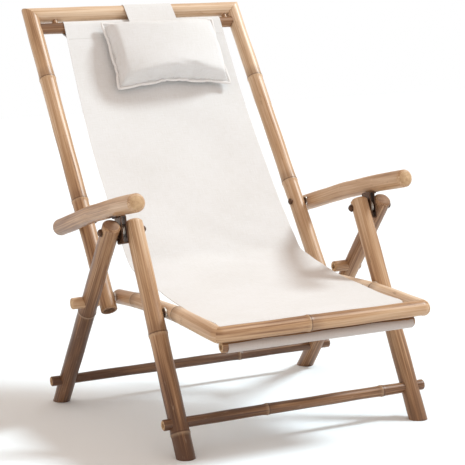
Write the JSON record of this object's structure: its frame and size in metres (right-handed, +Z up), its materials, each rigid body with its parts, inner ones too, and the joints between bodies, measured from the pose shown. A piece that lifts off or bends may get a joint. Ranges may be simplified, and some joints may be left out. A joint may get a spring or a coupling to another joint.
{
  "type": "folding bamboo deck chair",
  "caption": "Folding deck chair of round bamboo poles with a hung canvas seat, a padded head pillow on a strap, arched armrests on steel brackets and crossed legs.",
  "frame": {"origin": "on the floor under the middle of the chair's box, in its upright position", "axes": "+X to a viewer's right who faces the chair's front, +Y to its back, +Z up"},
  "size_m": [0.642, 0.8704, 0.8146],
  "materials": {
    "bamboo": "lacquered, satin",
    "bronze_steel": "dark bronze, satin",
    "washer_steel": "zinc plated, satin",
    "canvas": "plain weave, matte"
  },
  "bodies": {
    "front_legs": {"front_leg_left": "bamboo", "front_leg_right": "bamboo", "front_cross_rail": "bamboo", "leg_pivot_bolts": "bronze_steel", "leg_pivot_washers": "washer_steel", "leg_pivot_nuts": "bronze_steel", "pivot_springs": "bronze_steel", "seat_pivot_bolts": "bronze_steel", "seat_pivot_washers": "washer_steel"},
    "rear_legs": {"rear_leg_left": "bamboo", "rear_leg_right": "bamboo", "rear_cross_rail": "bamboo", "stop_peg_left": "bamboo", "stop_peg_right": "bamboo"},
    "seat_frame": {"seat_rail_left": "bamboo", "seat_rail_right": "bamboo", "seat_front_rail": "bamboo", "seat_canvas_rod": "bamboo", "front_corner_dowels": "bamboo", "sling_seat": "canvas"},
    "back_frame": {"back_stile_left": "bamboo", "back_stile_right": "bamboo", "back_top_rail": "bamboo", "back_canvas_rod": "bamboo", "rod_spacer_pegs": "bamboo", "top_corner_dowels": "bamboo", "back_pivot_bolts": "bronze_steel", "back_pivot_washers": "washer_steel", "sling_back": "canvas", "head_pillow": "canvas", "pillow_strap": "canvas"},
    "left_armrest": {"armrest_left": "bamboo", "armrest_bracket_left": "bronze_steel", "bracket_screws_left": "bronze_steel", "armrest_bolt_left": "bronze_steel", "armrest_washer_left": "washer_steel"},
    "right_armrest": {"armrest_right": "bamboo", "armrest_bracket_right": "bronze_steel", "bracket_screws_right": "bronze_steel", "armrest_bolt_right": "bronze_steel", "armrest_washer_right": "washer_steel"}
  },
  "joints": [
    {"name": "seat_fold", "type": "hinge", "parent": "front_legs", "child": "seat_frame", "pos_m": [0, -0.22174, 0.241], "axis": [-1, 0, 0], "range_deg": [0, 82]},
    {"name": "back_fold", "type": "hinge", "parent": "seat_frame", "child": "back_frame", "pos_m": [0, 0.04338, 0.23424], "axis": [-1, 0, 0], "range_deg": [-82, 0]},
    {"name": "left_armrest_fold", "type": "hinge", "parent": "front_legs", "child": "left_armrest", "pos_m": [0, -0.13763, 0.38551], "axis": [-1, 0, 0], "range_deg": [0, 82]},
    {"name": "right_armrest_fold", "type": "hinge", "parent": "front_legs", "child": "right_armrest", "pos_m": [0, -0.13763, 0.38551], "axis": [-1, 0, 0], "range_deg": [0, 82]},
    {"name": "rear_legs_fold", "type": "hinge", "parent": "front_legs", "child": "rear_legs", "pos_m": [0, -0.13763, 0.38551], "axis": [-1, 0, 0], "range_deg": [0, 46.4]}
  ],
  "couplings": [
    {"joint": "back_fold", "follows": "seat_fold", "ratio": -1},
    {"joint": "left_armrest_fold", "follows": "seat_fold", "ratio": 1},
    {"joint": "right_armrest_fold", "follows": "seat_fold", "ratio": 1},
    {"joint": "rear_legs_fold", "follows": "seat_fold", "ratio": 0.565}
  ]
}
